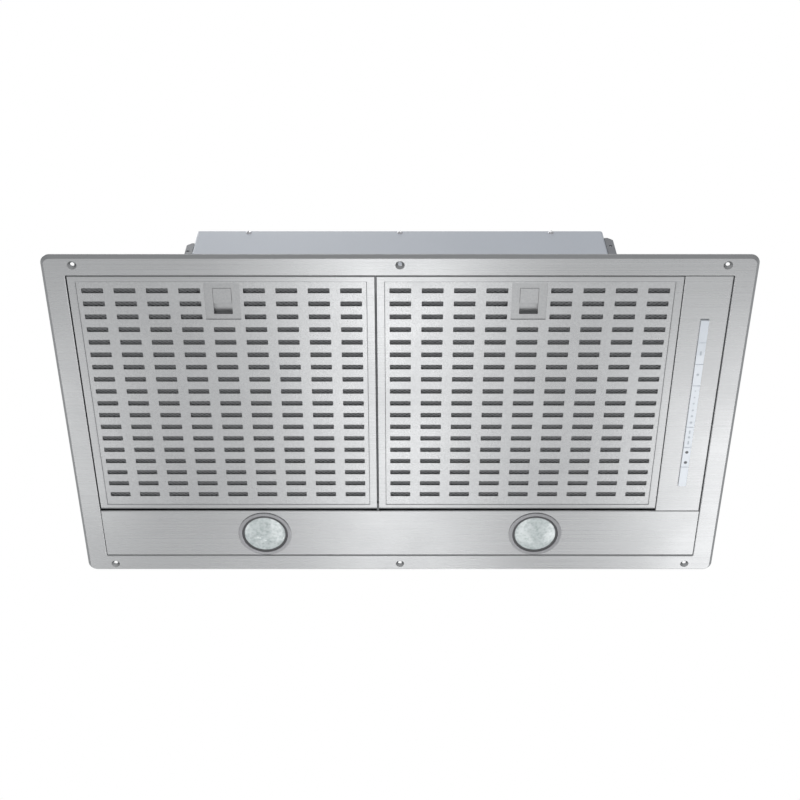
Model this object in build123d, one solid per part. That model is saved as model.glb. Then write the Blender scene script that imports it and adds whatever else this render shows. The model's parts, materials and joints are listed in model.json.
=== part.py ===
from build123d import *
import math
import os

# Built-in extractor hood. Millimetres, +Z up, +X towards the control panel, -Y towards the user.
# The origin is the centre of the flange's seating plane, against the underside of the cabinet.

# Flange plate and its opening
PLATE_W = 880.0
PLATE_D = 500.0
PLATE_CORNER = 12.0
PLATE_H = 4.8
BEVEL = 4.0
SHEET = 1.2
OPEN_X = 411.0
OPEN_Y = 222.0
OPEN_CORNER = 1.0
FOLD_H = 16.0
FOLD_BEND = 1.6
FACE = -PLATE_H
FIX_X = 401.0
FIX_Y = 237.0
FIX_R = 2.5
SINK_R = 5.75
SINK_DEPTH = SINK_R - FIX_R
BOSS_R = 6.6

# Plenum tray over the filters
TRAY_X = OPEN_X + 2 * SHEET
TRAY_Y = OPEN_Y + 2 * SHEET
TRAY_TOP = 40.0
TRAY_SLOPE = 23.0
AIR_X = 240.0
AIR_Y = (-140.0, 160.0)
GASKET_W = 5.0
GASKET_GAP = 0.6

# Divider bar between the filters, heights from the flange's face
BAR_WEB_T = 1.6
BAR_TAB_T = 2.2
BAR_HEAD_W = 16.0
BAR_TAB_Z = (FACE + 1.4, FACE + 4.0)
BAR_WEB_Z = (FACE + 4.0, FACE + 12.6)
BAR_HEAD_Z = (FACE + 12.6, FACE + 13.8)
BAR_NEAR_TAB = 24.0
BAR_FAR_TAB = 6.0
BAR_HEAD_SHORT = 10.4

# Grease filters
FILTER_W = 378.0
FILTER_X = {"left": -220.6, "right": 160.4}
FILTER_Y = (-221.6, 141.4)
FILTER_H = 12.0
FRAME_BAND = 10.0
FRAME_T = 1.0
FRAME_ROUND = 5.0
FRAME_LIP = 0.8
SLOT_W = 27.0
SLOT_D = 7.0
SLOT_CORNER = 0.9
SLOT_PITCH_X = 40.0
SLOT_PITCH_Y = 18.56
SLOT_COLUMNS = 9
SLOT_ROWS = 18
SLOT_FIRST_Y = -201.1
LATCH_ROWS = 3
GRILLE_Z = FACE + FRAME_T
GRILLE_T = 1.0
MESH_H = 8.0
SHEET_PLAY = 0.4
NOTCHED_W = 16.0

# Filter hinge pegs and their eyes
PIVOT_Y = FILTER_Y[1] - 5.0
PIVOT_Z = FACE + 6.0
PEG_R = 2.0
PEG_CLEARANCE = 0.05
NOTCH_X = 7.0
NOTCH_Y = 13.0
EYE_R = 3.6
EYE_T = 3.4
EYE_STEM = 5.0
EYE_GAP = 1.2
RAIL_Z = PIVOT_Z + 9.4
RAIL_T = 1.5
RAIL_NEAR = 8.0
CORNER_BLOCK = 10.0

# Filter latch
POCKET_W = 44.0
POCKET_Y = (-212.0, -160.0)
POCKET_SINK = 1.0
TONGUE_W = 22.6
TONGUE_Y = (-204.0, -182.1)
LATCH_TRAVEL = 7.0
FINGER_ROOM = 7.6
FINGER_Y = TONGUE_Y[1] + LATCH_TRAVEL + FINGER_ROOM
LATCH_GAP = 0.4
LATCH_TOP = FACE + 9.0
POCKET_T = 0.8
POCKET_WALL = 1.2
NOSE_W = 14.0
NOSE_SHORT = 0.4
NOSE_CHAMFER = 1.6
SLIDER_TOP = LATCH_TOP - 2.4
LUG_W = 4.0
LUG_Y = (-202.0, -200.0)
POST_Y = (-182.0, -181.0)
SPRING_START = -199.7
SPRING_L = 17.4
SPRING_R = 0.85
SPRING_WIRE = 0.2
SPRING_TURNS = 10

# Light panel and lamps
LIGHT_Y = (142.8, 221.6)
PANEL_X = 410.6
PANEL_T = 1.0
PANEL_FOLD = 12.0
LAMP_X = 187.5
LAMP_Y = 183.0
LAMP_HOLE_R = 33.2
TRIM_R = 36.5
TRIM_H = 1.4
SEAL_R = 31.5
LENS_R = 28.3
LENS_T = 2.0
LENS_BULGE = 2.0
LENS_LOW = 0.2
TRIM_EDGE = 0.6
SLEEVE_H = 9.0
SLEEVE_PLAY = 0.2
REFLECTOR_DEPTH = 16.0
REFLECTOR_R = (LENS_R - 1.0, 10.0)
REFLECTOR_T = 0.8
LAMP_CAN_H = 22.0
LAMP_CAN_T = 1.5
LAMP_CAP_T = 2.0
LED_POST_R = 9.0
LED_POST_Z = 18.4
FIN_PITCH = 8.0
FIN_T = 1.6
FIN_H = 4.0
CLIP_W = 10.0
CLIP_FOOT = 11.0
CLIP_T = 0.8
CLIP_H = 8.6

# Sheets set slightly back from the flange face
PANEL_Z = FACE + 0.4

# Control panel and its strip of keys
CONTROL_X = (350.2, 410.6)
CONTROL_GAP = 0.7
STRIP_X = 382.0
STRIP_W = 10.6
STRIP_START = -160.1
MODULE = 32.4
MODULE_GAP = 0.4
STRIP_PROUD = 2.3
STRIP_TOP = 2.4
KEY_LIP = 1.2
KEY_TRAVEL = 1.0
KEYS = {"power_key": 1, "light_key": 2, "fan_key": 5, "timer_key": 6}
DISPLAY_MODULE = 3
STRIP_MODULES = 8
STRIP_PLAY = 0.3
STRIP_EDGE = 0.4
LIP_TOP = 2.2
CARRIER_W = 17.0
CARRIER_WALL = 1.7
CARRIER_END = 4.0
CARRIER_TOP = 8.0
CARRIER_ROOF = 1.2
MAT_W = 13.0
MAT_Z = (PANEL_Z + 4.4, PANEL_Z + 5.2)
BOARD_Z = (PANEL_Z + 5.2, PANEL_Z + 6.8)
DOME_R = 2.6
DOME_H = 0.8
DOME_GAP = 0.4

# Blower box
BOX_X = 282.5
BOX_Y = (-165.0, 185.0)
BOX_TOP = 232.5
BOX_CORNER = 4.0
BOX_FLANGE = 14.0
LID_SKIRT = 16.0
SCREW_X = 210.0
SCREW_DROP = 4.6
BASE_SCREW_X = (-240.0, 0.0, 240.0)
BASE_SCREW_Y = (-80.0, 40.0)
LID_SCREW_Y = (-80.0, 100.0)

# Hanging lugs, by side: -1 is the left
HANGER_TOP = {-1: 200.0, 1: 216.0}
HANGER_W = {-1: 9.8, 1: 11.4}
HANGER_HOLE_X = 6.0
HANGER_HOLE_R = 2.2
HANGER_HOLE_DROP = 24.0
HANGER_Y = (-163.0, -136.0)
HANGER_EAR_T = 2.0
HANGER_T = 1.5
HANGER_H = 52.0
HANGER_CHAMFER = 6.5
HANGER_SCREW_Y = -148.0
HANGER_SCREW_DROPS = (12.0, 38.0)

# Dome-head screws
HEAD_R = 4.0
HEAD_H = 2.6
SHANK_R = 1.95
SHANK_L = 7.0

# Blower
AXIS_Y = -40.0
AXIS_Z = 141.0
WHEEL_R = 68.0
WHEEL_INNER = 54.0
WHEEL_HALF = 72.0
BLADES = 36
SCROLL_R = (76.0, 84.0, 92.0, 100.0)
SCROLL_HALF = 80.0
SCROLL_T = 1.5
INLET_R = 60.0
SHAFT_R = 4.0
SHAFT_CLEARANCE = 0.05
MOTOR_R = 42.0
MOTOR_X = (16.0, 78.0)
MOTOR_WALL = 8.0
MOTOR_END = 6.0
ROTOR_R = 28.0
BEARING_R = 11.0
HUB_R = 12.0
HUB_X = (-12.0, 10.0)
WHEEL_RING_T = 2.0
WHEEL_DISC_T = 2.0
INLET_RIM = 11.0
INLET_T = 1.5
INLET_GAP = 3.0
BRACKET_T = 2.5
BRACKET_ARM = (-5.0, 5.0)
BRACKET_REACH = 81.0
CAPACITOR_AT = (-262.0, -60.0)
CAPACITOR_R = 16.0
CAPACITOR_H = 72.0
CAPACITOR_EDGE = 2.0

# Exhaust collar and its flaps
COLLAR_Y = AXIS_Y + SCROLL_R[3] / 2
COLLAR_R = 74.5
COLLAR_T = 1.5
COLLAR_H = 57.0
COLLAR_FLANGE_R = 90.0
COLLAR_SCREW_R = 82.0
COLLAR_SCREWS = 6
BEAD_Z = (BOX_TOP + 5.0, BOX_TOP + 8.0)
BEAD_PROUD = 2.0
FLAP_Z = BOX_TOP + 16.0
FLAP_PIN_R = 1.5
FLAP_T = 1.0
KNUCKLE_R = 3.0
KNUCKLE_L = 20.0
KNUCKLE_STARTS = (-58.0, 6.0)
FLAP_PLAY = 1.4
FLAP_PIN_CLEARANCE = 0.05
LEDGE_R = (COLLAR_R - 1.0, COLLAR_R - 4.5)
LEDGE_Z = (FLAP_Z - 2.4, FLAP_Z - 0.9)
LEDGE_BREAK = (9.0, 12.0)

# Terminal box on the right-hand wall
TERMINAL_Y = (60.0, 170.0)
TERMINAL_Z = (62.0, 132.0)
TERMINAL_DEEP = 42.0
TERMINAL_CORNER = 4.0
TERMINAL_WALL = 2.0
TERMINAL_COVER_T = 1.5
TERMINAL_SCREW_IN = 7.0
TERMINAL_BOSS_R = 5.5
TERMINAL_BOSS_HOLE = 9.0
GLAND_R = 4.5
GLAND_WALL = 3.0
GLAND_IN = 8.0
GLAND_HEX_R = 11.0
GLAND_HEX_L = 6.0
GLAND_CAP_R = 9.5
GLAND_CAP_L = 18.0
GLAND_EDGE = 1.5
GLAND_AT = (24.0, 14.0)


def block(x, y, z):
    """A box between the low and high values given for each axis."""
    size = [high - low for low, high in (x, y, z)]
    middle = [(high + low) / 2 for low, high in (x, y, z)]
    return Pos(*middle) * Box(*size)


def span(centre, length):
    """Low and high values of a length about its centre."""
    return (centre - length / 2, centre + length / 2)


def rod(radius, start, end):
    """A cylinder between two points that share two of their three coordinates."""
    a, b = Vector(*start), Vector(*end)
    return extrude(Plane(origin=a, z_dir=(b - a).normalized()) * Circle(radius), (b - a).length)


def tube(outer, inner, start, end):
    return rod(outer, start, end) - rod(inner, start, end)


def plate_outline(x, y, z, corner):
    """A rounded rectangle of half widths x and y at height z."""
    return Pos(0, 0, z) * RectangleRounded(2 * x, 2 * y, corner)


def save(name, *items):
    """Writes one node. A group of like pieces is one file of separate solids."""
    pieces = [piece for item in items for piece in item.solids()]
    shape = pieces[0] if len(pieces) == 1 else Compound(children=pieces)
    export_step(shape, f"parts/{name}.step")


def ring_wall(x, y, z, corner, thickness):
    """An upright wall of rounded-rectangle plan whose inner face has half widths x and y."""
    low, high = z
    outer = plate_outline(x + thickness, y + thickness, low, corner + thickness)
    inner = plate_outline(x, y, low, corner)
    return extrude(outer, high - low) - extrude(inner, high - low)


def dome_screw(seat, towards):
    """A cross-head screw whose head stands on `seat` and whose shank runs the other way."""
    dome_r = (HEAD_R**2 + HEAD_H**2) / (2 * HEAD_H)
    head = Pos(0, 0, HEAD_H - dome_r) * Sphere(dome_r) & block(
        (-HEAD_R, HEAD_R), (-HEAD_R, HEAD_R), (0, HEAD_H)
    )
    for angle in (0, 90):
        head -= Rot(0, 0, angle) * block((-2.0, 2.0), (-0.45, 0.45), (HEAD_H - 1.2, HEAD_H))
    screw = head + rod(SHANK_R, (0, 0, -SHANK_L), (0, 0, 0))
    return Plane(origin=seat, z_dir=towards) * screw


# Flange, tray and gasket ---------------------------------------------------------------


def fixing_points():
    return [(x, y) for x in (-FIX_X, 0.0, FIX_X) for y in (-FIX_Y, FIX_Y)]


def catch_slots():
    """The slots behind the front fold that the two latch noses reach for."""
    y = (-TRAY_Y - 1, -OPEN_Y + 1)
    z = (LATCH_TOP - 6.0, LATCH_TOP - 1.4)
    return [block(span(x, 19.0), y, z) for x in FILTER_X.values()]


def flange_plate():
    """A pan with a bevelled rim, a folded opening and six dimpled screw holes."""
    x, y = PLATE_W / 2, PLATE_D / 2
    pan = extrude(plate_outline(x, y, FACE, PLATE_CORNER), PLATE_H)
    pan = chamfer(pan.faces().sort_by(Axis.Z)[0].edges(), BEVEL)
    inset = SHEET
    hollow_z = FACE + SHEET
    hollow = extrude(
        plate_outline(x - inset, y - inset, hollow_z, PLATE_CORNER - inset), PLATE_H - SHEET
    )
    slope = BEVEL - SHEET * math.tan(math.radians(22.5))
    hollow = chamfer(hollow.faces().sort_by(Axis.Z)[0].edges(), slope - 0.1)
    plate = pan - hollow
    plate -= extrude(plate_outline(OPEN_X, OPEN_Y, FACE - 1, OPEN_CORNER), PLATE_H + 2)
    plate += ring_wall(OPEN_X, OPEN_Y, (FACE, FACE + FOLD_H), OPEN_CORNER, SHEET)
    lip = [
        edge
        for edge in plate.edges()
        if abs(edge.center().Z - FACE) < 0.01
        and abs(edge.center().X) < OPEN_X + 1
        and abs(edge.center().Y) < OPEN_Y + 1
    ]
    plate = fillet(lip, FOLD_BEND)
    for px, py in fixing_points():
        plate += rod(BOSS_R, (px, py, FACE + SHEET), (px, py, -0.6))
        plate -= rod(FIX_R, (px, py, FACE - 1), (px, py, 1))
        sink = Cone(SINK_R, FIX_R, SINK_DEPTH, align=(Align.CENTER, Align.CENTER, Align.MIN))
        plate -= Pos(px, py, FACE) * sink
    for slot in catch_slots():
        plate -= slot
    return plate


def seal_gasket():
    """The foam strip that closes the joint against the cabinet, round the tray."""
    corner = OPEN_CORNER + 2 * SHEET + GASKET_GAP
    x, y = TRAY_X + GASKET_GAP, TRAY_Y + GASKET_GAP
    return ring_wall(x, y, (FACE + SHEET, 0.0), corner, GASKET_W)


def tray_shell(inset):
    """A block with upright sides below and sloping sides above, drawn in by a sheet's thickness."""
    low = FACE + SHEET
    bend = TRAY_TOP - TRAY_SLOPE - inset * math.tan(math.radians(22.5))
    top = TRAY_TOP - inset
    x, y, corner = TRAY_X - inset, TRAY_Y - inset, OPEN_CORNER + 2 * SHEET - inset
    foot = plate_outline(x, y, bend, corner)
    run = top - bend
    sides = extrude(plate_outline(x, y, low, corner), bend - low)
    return sides + loft([foot, plate_outline(x - run, y - run, top, corner)], ruled=True)


def plenum_tray():
    """The shallow box over the filters, with the blower's air hole in its top."""
    outer, inner = (tray_shell(inset) for inset in (0.0, SHEET))
    tray = outer - inner
    tray -= block((-AIR_X, AIR_X), AIR_Y, (TRAY_TOP - 2 * SHEET, TRAY_TOP + 1))
    for slot in catch_slots():
        tray -= slot
    for x, y in base_screw_points():
        tray -= rod(SHANK_R, (x, y, TRAY_TOP - 2), (x, y, TRAY_TOP + 1))
    return tray


def divider_bar():
    """The T bar between the two filters. Its head stops short of the hinge eyes."""
    middle = (FILTER_X["left"] + FILTER_X["right"]) / 2
    web = block(span(middle, BAR_WEB_T), (-OPEN_Y, LIGHT_Y[0]), BAR_WEB_Z)
    head = block(span(middle, BAR_HEAD_W), (-OPEN_Y, PIVOT_Y - BAR_HEAD_SHORT), BAR_HEAD_Z)
    near_tab = block(span(middle, BAR_TAB_T), (-OPEN_Y, -OPEN_Y + BAR_NEAR_TAB), BAR_TAB_Z)
    far_tab = block(span(middle, BAR_TAB_T), (PIVOT_Y - BAR_FAR_TAB, LIGHT_Y[0]), BAR_TAB_Z)
    return web + head + near_tab + far_tab


def hinge_eye_spans():
    """X spans of the four eyes that the filter pegs turn in."""
    inner = FILTER_W / 2 - NOTCH_X + EYE_GAP
    return [
        (centre + side * inner, centre + side * (inner + EYE_T))
        for centre in FILTER_X.values()
        for side in (-1, 1)
    ]


def hinge_rail():
    """A strip across the far edge of the filters with four hanging eyes."""
    y = (PIVOT_Y - RAIL_NEAR, LIGHT_Y[0] + PANEL_T)
    rail = block((-OPEN_X, CONTROL_X[0]), y, (RAIL_Z, RAIL_Z + RAIL_T))
    for a, b in hinge_eye_spans():
        x = (min(a, b), max(a, b))
        rail += rod(EYE_R, (x[0], PIVOT_Y, PIVOT_Z), (x[1], PIVOT_Y, PIVOT_Z))
        rail += block(x, span(PIVOT_Y, EYE_STEM), (PIVOT_Z, RAIL_Z + RAIL_T / 2))
    bore = PEG_R + PEG_CLEARANCE
    return rail - rod(bore, (-OPEN_X, PIVOT_Y, PIVOT_Z), (CONTROL_X[0], PIVOT_Y, PIVOT_Z))


# Light panel and lamps -------------------------------------------------------------------


def folded_panel(x, y, folds):
    """A visible sheet with two edges folded up to the rail's height and softly bent corners."""
    top = RAIL_Z
    sheet = block(x, y, (PANEL_Z, PANEL_Z + PANEL_T))
    if folds == "y":
        sheet += block(x, (y[0], y[0] + PANEL_T), (PANEL_Z, top))
        sheet += block(x, (y[1] - PANEL_T, y[1]), (PANEL_Z, top))
        axis = Axis.X
    else:
        sheet += block((x[0], x[0] + PANEL_T), y, (PANEL_Z, top))
        sheet += block((x[1] - PANEL_T, x[1]), y, (PANEL_Z, top))
        axis = Axis.Y
    bends = sheet.faces().sort_by(Axis.Z)[0].edges().filter_by(axis)
    return fillet(bends, PANEL_T + 0.5)


def lamp_points():
    return [(-LAMP_X, LAMP_Y), (LAMP_X, LAMP_Y)]


def light_panel():
    panel = folded_panel((-PANEL_X, PANEL_X), LIGHT_Y, "y")
    for x, y in lamp_points():
        panel -= rod(LAMP_HOLE_R, (x, y, PANEL_Z - 1), (x, y, PANEL_Z + 3))
    return panel


def lamp_trim(x, y):
    """The turned ring round a lamp, with a sleeve through the panel."""
    low = PANEL_Z - TRIM_H
    face = tube(TRIM_R, SEAL_R, (x, y, low), (x, y, PANEL_Z))
    face = fillet(face.faces().sort_by(Axis.Z)[0].edges(), TRIM_EDGE)
    return face + tube(LAMP_HOLE_R - SLEEVE_PLAY, SEAL_R, (x, y, PANEL_Z), (x, y, PANEL_Z + SLEEVE_H))


def lamp_seal(x, y):
    return tube(SEAL_R, LENS_R + 0.1, (x, y, PANEL_Z - 0.5), (x, y, PANEL_Z + LENS_T))


def lamp_lens(x, y):
    """A slightly domed disc of textured glass."""
    dome_r = (LENS_R**2 + LENS_BULGE**2) / (2 * LENS_BULGE)
    low = PANEL_Z - LENS_LOW
    disc = rod(LENS_R, (x, y, low), (x, y, PANEL_Z + LENS_T))
    cap = Pos(x, y, low - LENS_BULGE + dome_r) * Sphere(dome_r)
    return disc + (cap & rod(LENS_R, (x, y, low - LENS_BULGE), (x, y, low)))


def lamp_reflector(x, y):
    """The lamp's conical mirror, standing on its lens."""
    wide, narrow = REFLECTOR_R
    align = (Align.CENTER, Align.CENTER, Align.MIN)
    inside = Cone(wide - REFLECTOR_T, narrow - REFLECTOR_T, REFLECTOR_DEPTH, align=align)
    bowl = Cone(wide, narrow, REFLECTOR_DEPTH, align=align) - inside
    return Pos(x, y, PANEL_Z + LENS_T) * bowl


def lamp_housing(x, y):
    """The cooled can of a lamp, standing on the seal."""
    low, high = PANEL_Z + LENS_T, PANEL_Z + LAMP_CAN_H
    radius = SEAL_R - SLEEVE_PLAY
    can = tube(radius, radius - LAMP_CAN_T, (x, y, low), (x, y, high))
    can += rod(radius, (x, y, high - LAMP_CAP_T), (x, y, high))
    can += rod(LED_POST_R, (x, y, PANEL_Z + LED_POST_Z), (x, y, high))
    for step in range(-3, 4):
        half = math.sqrt(radius**2 - (FIN_PITCH * step) ** 2) - 1.0
        can += block(span(x + FIN_PITCH * step, FIN_T), span(y, 2 * half), (high, high + FIN_H))
    return can


def lamp_clips(x, y):
    """Two spring strips that grip the panel from above, one each side of the sleeve."""
    inner = LAMP_HOLE_R
    clips = []
    for side in (-1, 1):
        foot = sorted((x + side * inner, x + side * (inner + CLIP_FOOT)))
        stem = sorted((x + side * inner, x + side * (inner + CLIP_T)))
        clip = block(foot, span(y, CLIP_W), (PANEL_Z + PANEL_T, PANEL_Z + PANEL_T + CLIP_T))
        clips.append(clip + block(stem, span(y, CLIP_W), (PANEL_Z + PANEL_T, PANEL_Z + CLIP_H)))
    return clips


# Control panel and keys -------------------------------------------------------------------


def strip_span(first, count=1):
    """Y span of a run of strip modules, less the gap at each end."""
    low = STRIP_START + first * MODULE + MODULE_GAP / 2
    return (low, low + count * MODULE - MODULE_GAP)


def strip_end():
    return STRIP_START + STRIP_MODULES * MODULE


def control_panel():
    panel = folded_panel(CONTROL_X, (FILTER_Y[0], LIGHT_Y[0] - CONTROL_GAP), "x")
    slot_y = (STRIP_START - STRIP_PLAY, strip_end() + STRIP_PLAY)
    slot_x = span(STRIP_X, STRIP_W + 2 * STRIP_PLAY)
    return panel - block(slot_x, slot_y, (PANEL_Z - 1, PANEL_Z + 3))


def strip_block(y, lip_low):
    """One glossy module: a bar through the slot with a lip each side above the sheet."""
    low = PANEL_Z - STRIP_PROUD
    bar = block(span(STRIP_X, STRIP_W), y, (low, PANEL_Z + STRIP_TOP))
    bar = fillet(bar.faces().sort_by(Axis.Z)[0].edges(), STRIP_EDGE)
    return bar + block(span(STRIP_X, STRIP_W + 2 * KEY_LIP), y, (PANEL_Z + lip_low, PANEL_Z + LIP_TOP))


def key_carrier():
    """The moulding over the keys, with the blank modules at both ends of the strip."""
    y = (STRIP_START - CARRIER_END, strip_end() + CARRIER_END)
    low, high = PANEL_Z + PANEL_T, PANEL_Z + CARRIER_TOP
    inside = span(STRIP_X, CARRIER_W - 2 * CARRIER_WALL)
    carrier = block(span(STRIP_X, CARRIER_W), y, (low, high))
    carrier -= block(inside, (y[0] + 3.0, y[1] - 3.0), (low - 1, high - CARRIER_ROOF))
    for module in (0, STRIP_MODULES - 1):
        carrier += strip_block(strip_span(module), PANEL_T)
        carrier += block(inside, strip_span(module), (PANEL_Z + 2.0, MAT_Z[0]))
    return carrier


def display_window():
    y = strip_span(DISPLAY_MODULE, 2)
    core = block(span(STRIP_X, 8.0), y, (PANEL_Z + LIP_TOP, MAT_Z[0]))
    return strip_block(y, PANEL_T) + core


def control_key(module):
    return strip_block(strip_span(module), PANEL_T + 0.3)


def key_mat():
    """The rubber sheet between board and keys, with a dome over each key."""
    mat = block(span(STRIP_X, MAT_W), (STRIP_START, strip_end()), MAT_Z)
    dome_z = PANEL_Z + STRIP_TOP + KEY_TRAVEL + DOME_GAP
    for module in KEYS.values():
        y = sum(strip_span(module)) / 2
        mat += rod(DOME_R, (STRIP_X, y, dome_z), (STRIP_X, y, dome_z + DOME_H))
    return mat


def control_board():
    return block(span(STRIP_X, MAT_W), (STRIP_START, strip_end()), BOARD_Z)


# Grease filters ---------------------------------------------------------------------------


def peg_notch(side):
    """The step at a far corner of the frame where the hinge eye reaches the peg."""
    inner = FILTER_W / 2 - NOTCH_X
    x = sorted((side * inner, side * (inner + NOTCH_X + 1)))
    return block(x, (FILTER_Y[1] - NOTCH_Y, FILTER_Y[1] + 1), (GRILLE_Z, FACE + FILTER_H + 1))


def latch_bay():
    """The room that the latch takes out of the mesh and back grille."""
    return block(span(0, POCKET_W + 2), (FILTER_Y[0] + FRAME_T, POCKET_Y[1] + 2), (GRILLE_Z, FACE + FILTER_H))


def frame_lip(band_y):
    """The bevel that eases the frame's inner edge down to the slotted sheet."""
    width = FILTER_W - 2 * FRAME_BAND + 2 * FRAME_LIP
    depth = band_y[1] - band_y[0] + 2 * FRAME_LIP
    mouth = Pos(0, sum(band_y) / 2, FACE) * Rectangle(width, depth)
    return extrude(mouth, FRAME_LIP, taper=45)


def filter_frame():
    """A folded channel frame, its far lower edge rounded about the hinge."""
    half = FILTER_W / 2
    z = (FACE, FACE + FILTER_H)
    shell = block((-half, half), FILTER_Y, z)
    far = shell.faces().sort_by(Axis.Z)[0].edges().sort_by(Axis.Y)[-1]
    shell = fillet(far, FRAME_ROUND)
    near = shell.faces().sort_by(Axis.Z)[0].edges().sort_by(Axis.Y)[0]
    shell = fillet(near, FRAME_T)
    inner_y = (FILTER_Y[0] + FRAME_T, FILTER_Y[1] - FRAME_T)
    channel = block((-half + FRAME_T, half - FRAME_T), inner_y, (z[0] + FRAME_T, z[1] - FRAME_T))
    far = channel.faces().sort_by(Axis.Z)[0].edges().sort_by(Axis.Y)[-1]
    channel = fillet(far, FRAME_ROUND - FRAME_T)
    band_y = (FILTER_Y[0] + FRAME_BAND - 2.0, FILTER_Y[1] - FRAME_BAND)
    window = block((-half + FRAME_BAND, half - FRAME_BAND), band_y, (z[0] - 1, z[1] + 1))
    frame = shell - channel - window - frame_lip(band_y)
    for side in (-1, 1):
        frame -= peg_notch(side)
    nose = block(span(0, NOTCHED_W), (FILTER_Y[0] - 1, FILTER_Y[0] + 2), (FACE + 3.6, LATCH_TOP - 1.4))
    return frame - nose


def slot_centres(columns, rows, pitch_x, pitch_y, first_y):
    left = -(columns - 1) / 2 * pitch_x
    return [
        (left + column * pitch_x, first_y + row * pitch_y)
        for row in range(rows)
        for column in range(columns)
    ]


def slotted(sheet_y, z, width, depth, centres):
    """A sheet of the filter with a rounded slot at each centre."""
    half = FILTER_W / 2 - NOTCH_X - SHEET_PLAY
    outline = Pos(0, sum(sheet_y) / 2) * Rectangle(2 * half, sheet_y[1] - sheet_y[0])
    slots = Locations(centres) * RectangleRounded(width, depth, SLOT_CORNER)
    return extrude(Pos(0, 0, z[0]) * (outline - slots), z[1] - z[0])


def inner_sheet_y():
    """Y span of the sheets that the frame holds."""
    return (FILTER_Y[0] + FRAME_T + 0.2, PIVOT_Y - SHEET_PLAY)


def filter_grille():
    """The visible slotted sheet. The slots leave the latch pocket's place clear."""
    centres = slot_centres(SLOT_COLUMNS, SLOT_ROWS, SLOT_PITCH_X, SLOT_PITCH_Y, SLOT_FIRST_Y)
    pocket_far = SLOT_FIRST_Y + (LATCH_ROWS - 0.5) * SLOT_PITCH_Y
    centres = [(x, y) for x, y in centres if abs(x) > 1 or y > pocket_far]
    grille = slotted(inner_sheet_y(), (GRILLE_Z, GRILLE_Z + GRILLE_T), SLOT_W, SLOT_D, centres)
    return grille - block(span(0, POCKET_W), POCKET_Y, (GRILLE_Z - 1, GRILLE_Z + 2))


def without_corners(sheet):
    """Clears the latch bay and the two corner blocks from an inner sheet."""
    sheet -= latch_bay()
    inner = FILTER_W / 2 - NOTCH_X - CORNER_BLOCK - SHEET_PLAY
    for side in (-1, 1):
        x = sorted((side * inner, side * FILTER_W))
        sheet -= block(x, (FILTER_Y[1] - NOTCH_Y, FILTER_Y[1]), (FACE, FACE + FILTER_H))
    return sheet


def filter_mesh():
    """The pack of expanded metal between the grilles, as one block."""
    half = FILTER_W / 2 - NOTCH_X - SHEET_PLAY
    low = GRILLE_Z + GRILLE_T
    pack = block((-half, half), inner_sheet_y(), (low, low + MESH_H))
    return without_corners(pack)


def filter_back_grille():
    """The plain sheet behind the mesh, its slots twice as deep and half as many."""
    low = GRILLE_Z + GRILLE_T + MESH_H
    first = SLOT_FIRST_Y + SLOT_PITCH_Y / 2
    centres = slot_centres(SLOT_COLUMNS, SLOT_ROWS // 2, SLOT_PITCH_X, 2 * SLOT_PITCH_Y, first)
    back = slotted(inner_sheet_y(), (low, low + GRILLE_T), SLOT_W, 2 * SLOT_D, centres)
    return without_corners(back)


def filter_pegs():
    """A corner block with its hinge peg at each end of the far edge."""
    blocks = []
    for side in (-1, 1):
        root = FILTER_W / 2 - NOTCH_X
        x = sorted((side * (root - CORNER_BLOCK), side * root))
        y = (FILTER_Y[1] - NOTCH_Y + 0.2, FILTER_Y[1] - 2.6)
        corner = block(x, y, (GRILLE_Z + GRILLE_T, FACE + FILTER_H - FRAME_T))
        tip = root + EYE_GAP + EYE_T + 1.0
        corner += rod(PEG_R, (side * (root - 1.0), PIVOT_Y, PIVOT_Z), (side * tip, PIVOT_Y, PIVOT_Z))
        blocks.append(corner)
    return blocks


# Filter latch -----------------------------------------------------------------------------


def latch_pocket():
    """The recessed plate in the grille with the slider's housing behind it."""
    floor_z = (GRILLE_Z + POCKET_SINK, GRILLE_Z + POCKET_SINK + POCKET_T)
    pocket = block(span(0, POCKET_W + 2), (FILTER_Y[0] + FRAME_T, POCKET_Y[1] + 2), floor_z)
    inner, near, far = TONGUE_W / 2 + LATCH_GAP, POCKET_Y[0] + 2, FINGER_Y + POCKET_WALL
    for side in (-1, 1):
        x = sorted((side * inner, side * (inner + POCKET_WALL)))
        pocket += block(x, (near, FINGER_Y), (floor_z[0], LATCH_TOP + POCKET_T))
    lid_x = span(0, 2 * (inner + POCKET_WALL))
    pocket += block(lid_x, (near, far), (LATCH_TOP, LATCH_TOP + POCKET_T))
    pocket += block(lid_x, (FINGER_Y, far), (floor_z[0], LATCH_TOP))
    pocket += block(span(0, LUG_W), POST_Y, (LATCH_TOP - 2.2, LATCH_TOP))
    window = block(span(0, 2 * inner), (TONGUE_Y[0] - LATCH_GAP, FINGER_Y), (FACE, floor_z[1]))
    return pocket - window


def latch_slider():
    """The tongue that a finger draws back, its nose and the lug that its spring pushes."""
    tongue = block(span(0, TONGUE_W), TONGUE_Y, (GRILLE_Z + 0.7, SLIDER_TOP))
    grip = tongue.faces().sort_by(Axis.Z)[0].edges().sort_by(Axis.Y)[-1]
    tongue = fillet(grip, 0.6)
    nose_y = (FILTER_Y[0] + NOSE_SHORT, TONGUE_Y[0] + 1)
    nose = block(span(0, NOSE_W), nose_y, (FACE + 4.0, SLIDER_TOP))
    tip = nose.faces().sort_by(Axis.Y)[0].edges().sort_by(Axis.Z)[-1]
    nose = chamfer(tip, NOSE_CHAMFER)
    lug = block(span(0, LUG_W), LUG_Y, (SLIDER_TOP - 0.5, LATCH_TOP - LATCH_GAP))
    return tongue + nose + lug


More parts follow.
